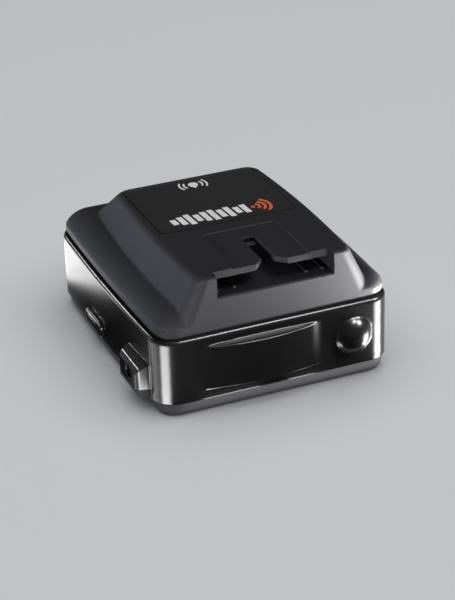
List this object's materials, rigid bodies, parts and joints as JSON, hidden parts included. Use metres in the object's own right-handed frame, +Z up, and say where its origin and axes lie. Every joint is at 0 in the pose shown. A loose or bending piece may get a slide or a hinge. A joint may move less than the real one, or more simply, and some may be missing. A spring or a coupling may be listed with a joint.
{
  "type": "radar detector",
  "caption": "Windscreen-mounted radar and laser detector with a glossy band, a raised hump holding a bracket pocket, rear keys, a side rocker and a power socket.",
  "frame": {"origin": "middle of the flat underside, on the plane that the detector rests on", "axes": "+Z up, -Y towards the road (front window), +Y towards the driver (display), +X to the right seen from the road with +Z up"},
  "size_m": [0.0772, 0.0914, 0.0415],
  "materials": {
    "top_shell": "satin moulded black",
    "base_shell": "satin moulded black",
    "gloss_band": "polished black",
    "window": "polished near-black, infrared-clear",
    "key_cap": "satin moulded black with white pictograms",
    "rocker_cap": "polished black",
    "label_film": null,
    "rating_film": "matt silver-grey film, blank",
    "screw_steel": "zinc-plated steel",
    "circuit_board": "green solder mask",
    "chip_black": "moulded epoxy",
    "can_metal": "drawn aluminium",
    "tin_plate": "tin-plated steel",
    "horn_casting": "zinc die casting",
    "ceramic": "fired ceramic",
    "tape_white": "foam tape",
    "foam": "closed-cell foam",
    "frame_steel": "black-passivated steel",
    "cone_paper": "treated film",
    "magnet": "sintered ferrite",
    "wire_red": "insulated wire",
    "wire_black": "insulated wire",
    "panel_glass": "display glass",
    "ribbon_amber": "polyimide film",
    "switch_body": "moulded nylon",
    "socket_black": "moulded nylon",
    "pin_brass": "nickel-plated brass",
    "mark_white": "white screen-print",
    "mark_orange": "orange screen-print"
  },
  "bodies": {
    "case": {"bottom_cover": "base_shell", "side_band": "gloss_band", "front_window": "window", "top_cover": "top_shell", "display_window": "window", "top_label": "label_film", "rating_label": "rating_film", "case_screws": "screw_steel", "main_board": "circuit_board", "board_screws": "screw_steel", "board_chips": "chip_black", "capacitors": "can_metal", "backup_cell": "tin_plate", "horn_antenna": "horn_casting", "microwave_board": "circuit_board", "microwave_shield": "tin_plate", "laser_board": "circuit_board", "laser_sensor": "chip_black", "gps_tape": "tape_white", "gps_antenna": "ceramic", "gps_board": "circuit_board", "gps_shield": "tin_plate", "gps_cable": "wire_black", "speaker_gasket": "foam", "speaker_frame": "frame_steel", "speaker_cone": "cone_paper", "speaker_magnet": "magnet", "speaker_wires": "wire_red", "display_panel": "panel_glass", "display_board": "circuit_board", "display_ribbon": "ribbon_amber", "key_board": "circuit_board", "key_board_screws": "screw_steel", "key_switches": "switch_body", "key_ribbon": "ribbon_amber", "rocker_pin": "screw_steel", "rocker_switches": "switch_body", "power_jack": "socket_black", "power_jack_pin": "pin_brass", "usb_port": "tin_plate", "usb_tongue": "socket_black"},
    "menu_button": {"menu_key": "key_cap", "menu_plunger": "switch_body"},
    "city_button": {"city_key": "key_cap", "city_plunger": "switch_body"},
    "dimmer_button": {"dimmer_key": "key_cap", "dimmer_plunger": "switch_body"},
    "mute_button": {"mute_key": "key_cap", "mute_plunger": "switch_body"},
    "volume_control": {"volume_rocker": "rocker_cap"}
  },
  "joints": [
    {"name": "menu_press", "type": "slide", "parent": "case", "child": "menu_button", "axis": [0, -0.668, -0.7442], "range_m": [0, 0.0004], "stiffness_N_per_m": 1000},
    {"name": "city_press", "type": "slide", "parent": "case", "child": "city_button", "axis": [0, -0.668, -0.7442], "range_m": [0, 0.0004], "stiffness_N_per_m": 1000},
    {"name": "dimmer_press", "type": "slide", "parent": "case", "child": "dimmer_button", "axis": [0, -0.668, -0.7442], "range_m": [0, 0.0004], "stiffness_N_per_m": 1000},
    {"name": "mute_press", "type": "slide", "parent": "case", "child": "mute_button", "axis": [0, -0.668, -0.7442], "range_m": [0, 0.0004], "stiffness_N_per_m": 1000},
    {"name": "volume_tilt", "type": "hinge", "parent": "case", "child": "volume_control", "pos_m": [-0.0322, 0.0076, 0.00795], "axis": [0, 0, 1], "range_deg": [-2.5, 2.5], "stiffness_Nm_per_rad": 0.12}
  ]
}
